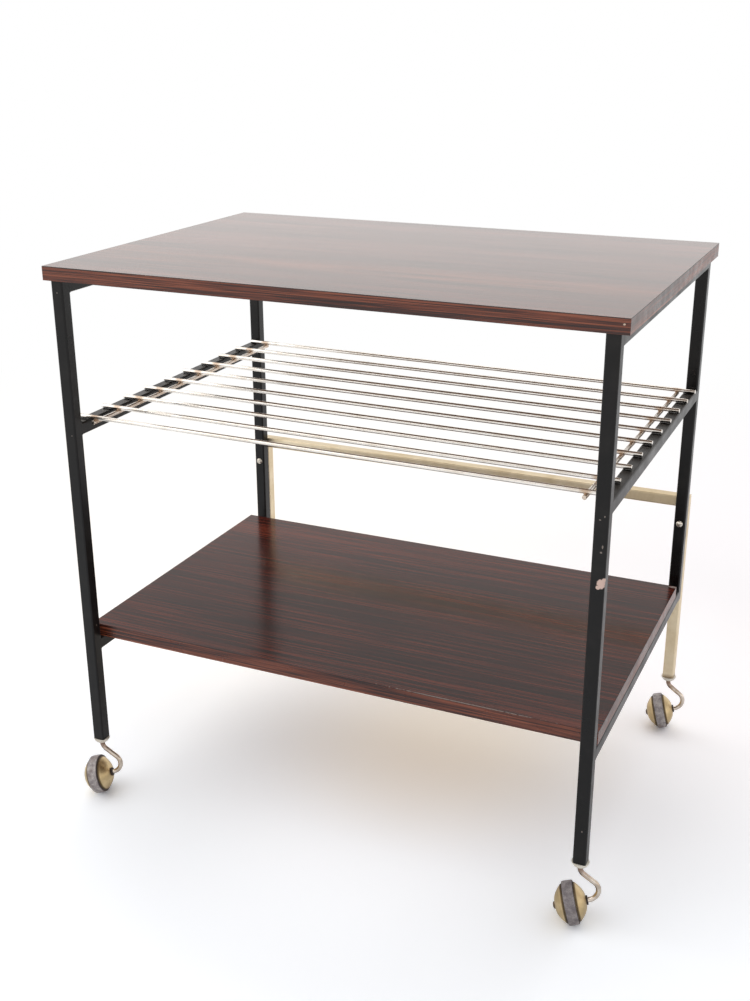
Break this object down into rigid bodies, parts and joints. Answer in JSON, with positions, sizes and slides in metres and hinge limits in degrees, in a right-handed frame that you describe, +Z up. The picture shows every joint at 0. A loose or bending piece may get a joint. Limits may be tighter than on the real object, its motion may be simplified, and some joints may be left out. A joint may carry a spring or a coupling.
{
  "type": "serving trolley",
  "caption": "Low serving trolley: laminated top and shelf on black square-tube side frames, a brass tube frame behind, a lift-out rod rack and swivelling dome casters.",
  "frame": {"origin": "middle of the footprint at floor level, under the centre of the overall box", "axes": "+Z up; +X to the user's right along the tabletop's long side; -Y is the front, with the long black front legs; +Y is the back, with the brass tube frame"},
  "size_m": [0.681, 0.5052, 0.6847],
  "materials": {
    "laminate": "glossy dark rosewood-pattern laminate, worn and dusty",
    "chipboard": "raw chipboard, hidden",
    "backing": "plain brown backing sheet",
    "edge_band": "red-brown wood-pattern edge strip, satin gloss",
    "black_lacquer": "satin black lacquer with small chips",
    "brass_tube": "pale brass plating, satin gloss, lightly tarnished",
    "bright_rod": "bright pale brass plating",
    "nickel": "nickel-plated slotted screw",
    "white_plastic": "off-white moulded plastic, grimy",
    "stem_metal": "brass-plated steel rod, worn",
    "dark_plastic": "dark ring, dirty",
    "grey_rubber": "grey rubber, worn and scuffed",
    "aged_brass": "domed brass, aged and dull"
  },
  "bodies": {
    "frame": {"tabletop_laminate": "laminate", "tabletop_core": "chipboard", "tabletop_backing": "backing", "tabletop_edge_band": "edge_band", "shelf_laminate": "laminate", "shelf_core": "chipboard", "shelf_backing": "backing", "shelf_edge_band": "edge_band", "front_leg_left": "black_lacquer", "front_leg_right": "black_lacquer", "rear_leg_left": "black_lacquer", "rear_leg_right": "black_lacquer", "top_crossbar_left": "black_lacquer", "top_crossbar_right": "black_lacquer", "middle_crossbar_left": "black_lacquer", "middle_crossbar_right": "black_lacquer", "bottom_crossbar_left": "black_lacquer", "bottom_crossbar_right": "black_lacquer", "brass_bar": "brass_tube", "brass_leg_left": "brass_tube", "brass_leg_right": "brass_tube", "frame_screw_left": "nickel", "frame_screw_right": "nickel", "caster_plug_front_left": "white_plastic", "caster_plug_front_right": "white_plastic", "caster_plug_rear_left": "white_plastic", "caster_plug_rear_right": "white_plastic"},
    "rack": {"rack_rod_01": "bright_rod", "rack_rod_02": "bright_rod", "rack_rod_03": "bright_rod", "rack_rod_04": "bright_rod", "rack_rod_05": "bright_rod", "rack_rod_06": "bright_rod", "rack_rod_07": "bright_rod", "rack_rod_08": "bright_rod", "rack_rod_09": "bright_rod", "rack_rod_10": "bright_rod", "rack_cross_rod_left": "bright_rod", "rack_cross_rod_right": "bright_rod"},
    "swivel_front_left": {"caster_stem_front_left": "stem_metal", "wheel_collar_front_left": "dark_plastic"},
    "swivel_front_right": {"caster_stem_front_right": "stem_metal", "wheel_collar_front_right": "dark_plastic"},
    "swivel_rear_left": {"caster_stem_rear_left": "stem_metal", "wheel_collar_rear_left": "dark_plastic"},
    "swivel_rear_right": {"caster_stem_rear_right": "stem_metal", "wheel_collar_rear_right": "dark_plastic"},
    "wheel_front_left": {"wheel_tyre_front_left": "grey_rubber", "wheel_dome_inner_front_left": "aged_brass", "wheel_dome_outer_front_left": "aged_brass"},
    "wheel_front_right": {"wheel_tyre_front_right": "grey_rubber", "wheel_dome_inner_front_right": "aged_brass", "wheel_dome_outer_front_right": "aged_brass"},
    "wheel_rear_left": {"wheel_tyre_rear_left": "grey_rubber", "wheel_dome_inner_rear_left": "aged_brass", "wheel_dome_outer_rear_left": "aged_brass"},
    "wheel_rear_right": {"wheel_tyre_rear_right": "grey_rubber", "wheel_dome_inner_rear_right": "aged_brass", "wheel_dome_outer_rear_right": "aged_brass"}
  },
  "joints": [
    {"name": "rack_lift", "type": "slide", "parent": "frame", "child": "rack", "axis": [0, 0, 1], "range_m": [0, 0.146]},
    {"name": "swivel_front_left", "type": "hinge", "parent": "frame", "child": "swivel_front_left", "pos_m": [-0.31356, -0.22529, 0.0807], "axis": [0, 0, 1], "continuous": true},
    {"name": "swivel_front_right", "type": "hinge", "parent": "frame", "child": "swivel_front_right", "pos_m": [0.31644, -0.22529, 0.0807], "axis": [0, 0, 1], "continuous": true},
    {"name": "swivel_rear_left", "type": "hinge", "parent": "frame", "child": "swivel_rear_left", "pos_m": [-0.31356, 0.22971, 0.0807], "axis": [0, 0, 1], "continuous": true},
    {"name": "swivel_rear_right", "type": "hinge", "parent": "frame", "child": "swivel_rear_right", "pos_m": [0.31644, 0.22971, 0.0807], "axis": [0, 0, 1], "continuous": true},
    {"name": "wheel_spin_front_left", "type": "hinge", "parent": "swivel_front_left", "child": "wheel_front_left", "pos_m": [-0.32107, -0.22773, 0.02486], "axis": [0.9228, 0.2998, 0.2419], "continuous": true},
    {"name": "wheel_spin_front_right", "type": "hinge", "parent": "swivel_front_right", "child": "wheel_front_right", "pos_m": [0.30901, -0.22796, 0.02486], "axis": [0.9129, 0.3287, 0.2419], "continuous": true},
    {"name": "wheel_spin_rear_left", "type": "hinge", "parent": "swivel_rear_left", "child": "wheel_rear_left", "pos_m": [-0.32114, 0.22751, 0.02486], "axis": [0.9318, 0.2707, 0.2419], "continuous": true},
    {"name": "wheel_spin_rear_right", "type": "hinge", "parent": "swivel_rear_right", "child": "wheel_rear_right", "pos_m": [0.3088, 0.22775, 0.02486], "axis": [0.9398, 0.2413, 0.2419], "continuous": true}
  ]
}
